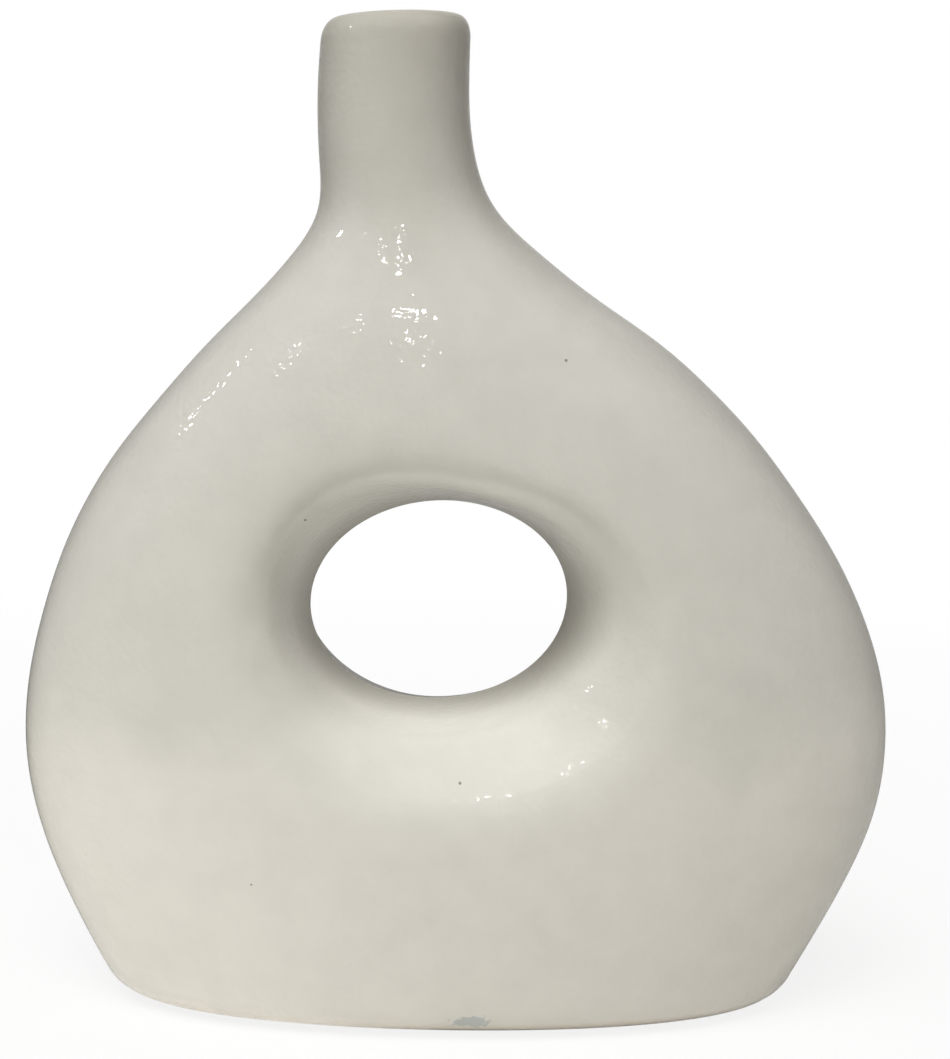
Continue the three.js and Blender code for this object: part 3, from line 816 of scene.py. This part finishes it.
def grey_cloth():
    """Glows by the tone that is kept at each point of the mesh."""
    material, tree = new_material("grey_studio_cloth")
    grey = add(tree, "ShaderNodeAttribute", attribute_name="tone")
    cloth = add(tree, "ShaderNodeEmission", {"Color": linear("#fffdf8"), "Strength": grey.outputs["Fac"]})
    add(tree, "ShaderNodeOutputMaterial", {"Surface": cloth})
    return material


def mirrored_room():
    """A ground disc and a half sphere over it, as one grid: the first parameter is the way out along the
    ground and up the dome, the second goes round from the front to the right. The tones are kept as an
    attribute."""
    way = ROOM_RADIUS * np.concatenate([np.linspace(0, 1, 33), 1 + np.linspace(0, math.pi / 2, 31)[1:]])
    rise = np.clip(way / ROOM_RADIUS - 1, 0, None)[:, None]
    turn = np.linspace(0, 2 * math.pi, 73)
    out = np.minimum(way, ROOM_RADIUS)[:, None] * np.cos(rise)
    height = ROOM_RADIUS * np.sin(rise) + ROOM_LIFT
    grid = np.stack([out * np.sin(turn), -out * np.cos(turn), height + 0 * turn], axis=-1)
    rows = np.append(ROOM_GROUND, ROOM_RADIUS * (1 + np.radians(ROOM_ANGLES)))
    columns = np.linspace(0, 2 * math.pi, ROOM.shape[1])
    tone = shares(way, rows) @ ROOM @ shares(turn, columns).T
    room = place_mesh("mirrored_room", grid.reshape(-1, 3), patches_of(*tone.shape).tolist(), grey_cloth())
    room.data.attributes.new("tone", "FLOAT", "POINT").data.foreach_set("value", tone.ravel())
    room.visible_camera = room.visible_diffuse = room.visible_shadow = room.visible_transmission = False
    print("mirrored room, tones from", tone.min().round(2), "to", tone.max().round(2))


mirrored_room()

# %% [markdown]
# Light.
# The vase was lit softly from high in front and from the left, where the light is a little cooler, with pale
# light from behind, from the paper under it and from a card low at its left. Small bright lamps show as
# sparkles in the glaze. A real lamp does both jobs at once. Here they are set apart, because softness and
# sparkle are then easier to tune: a soft box gives light and no mirror image, and a small lamp a mirror
# image and no light. Light linking keeps the two low ones off the paper, where they would draw a hard edge.
# The world adds a faint glow from all sides, and shows white to the camera and to mirror images, as the
# paper does.

# %% Lamps and world
# The point within the vase that every lamp faces, in m.
AIM = np.array([0.0, 0.0, 0.14])
# Name: azimuth from the front (left is negative) and elevation in degrees, distance, width and height in m,
# watts, colour, and whether it is there for its mirror image or else for its light. The bounce lies on the
# paper, facing up.
LAMPS = {
    "front_soft_box": (-10, 60, 3.0, 1.6, 1.6, 74.0, "#fffdfa", False),
    "left_soft_box": (-42, 64, 3.0, 1.6, 1.4, 22.0, "#eafbff", False),
    "back_soft_box": (180, 10, 3.0, 1.6, 1.2, 26.0, "#ffffff", False),
    "left_card": (-62, -29, 0.27, 0.3, 0.02, 0.075, "#fffdf8", False),
    "paper_bounce": (0, -90, 0.1401, 0.8, 0.8, 0.31, "#fff8ee", False),
    "front_lamp_high": (-10, 40, 1.5, 0.06, 0.05, 0.8, "#fffdf8", True),
    "front_lamp_low": (-9, 30, 1.5, 0.03, 0.03, 0.2, "#fffdf8", True),
    "middle_lamp": (-24, 37, 1.5, 0.03, 0.025, 0.22, "#fffdf8", True),
    "side_lamp": (-44, 33, 1.5, 0.03, 0.025, 0.22, "#fffdf8", True),
    "left_lamp": (-78, 34, 1.5, 0.06, 0.05, 1.0, "#fffdf8", True),
}
WORLD_GLOW = 0.005
vase_alone = bpy.data.collections.new("vase_alone")
vase_alone.objects.link(outer_coat)


def place_lamp(name, azimuth, elevation, distance, width, height, watts, colour, mirrored):
    """An area lamp on a sphere round the vase, facing its middle: x by sin(azimuth), y by -cos(azimuth). One
    that shines upwards lights the vase alone."""
    lamp = bpy.data.lights.new(name, "AREA")
    lamp.shape = "RECTANGLE"
    lamp.size, lamp.size_y = width, height
    lamp.energy = watts
    lamp.color = linear(colour)[:3]
    holder = bpy.data.objects.new(name, lamp)
    a, e = math.radians(azimuth), math.radians(elevation)
    way = np.array([math.sin(a) * math.cos(e), -math.cos(a) * math.cos(e), math.sin(e)])
    holder.location = (AIM + distance * way).tolist()
    holder.rotation_euler = (math.pi / 2 - e, 0, a)
    holder.visible_camera = False
    holder.visible_glossy = mirrored
    holder.visible_diffuse = not mirrored
    if elevation < 0:
        holder.light_linking.receiver_collection = vase_alone
    bpy.context.scene.collection.objects.link(holder)


for lamp_name, facts in LAMPS.items():
    place_lamp(lamp_name, *facts)

world = bpy.data.worlds.new("studio_glow")
world.use_nodes = True
tree = world.node_tree
tree.nodes.clear()
level = add(tree, "ShaderNodeMapRange", {0: seen_ray(tree), 3: WORLD_GLOW, 4: 1.0})
glow = add(tree, "ShaderNodeBackground", {"Color": (1, 1, 1, 1), "Strength": level})
add(tree, "ShaderNodeOutputWorld", {"Surface": glow})
bpy.context.scene.world = world
bpy.context.scene.view_settings.view_transform = "Standard"
print(len(LAMPS), "lamps, world glow", WORLD_GLOW)

# %% [markdown]
# The camera.
# The photo was taken from close by, slightly above the neck's root, looking a little down, and tipped by
# less than a degree. Those five numbers and the lens were fitted to the outline of the vase and of its
# opening, with no shift, so that other views stay centred.

# %% Camera at the photo's viewing angle
camera = bpy.data.objects.new("photo_camera", bpy.data.cameras.new("photo_camera"))
camera.data.lens = 62.54
camera.data.sensor_width = 36.0
camera.location = (0.0037, -0.550, 0.2336)
camera.rotation_euler = (math.radians(90 - 8.92), math.radians(-0.9), 0.0)
bpy.context.scene.collection.objects.link(camera)
bpy.context.scene.camera = camera
print("camera", round(camera.location.length, 3), "m from the origin")
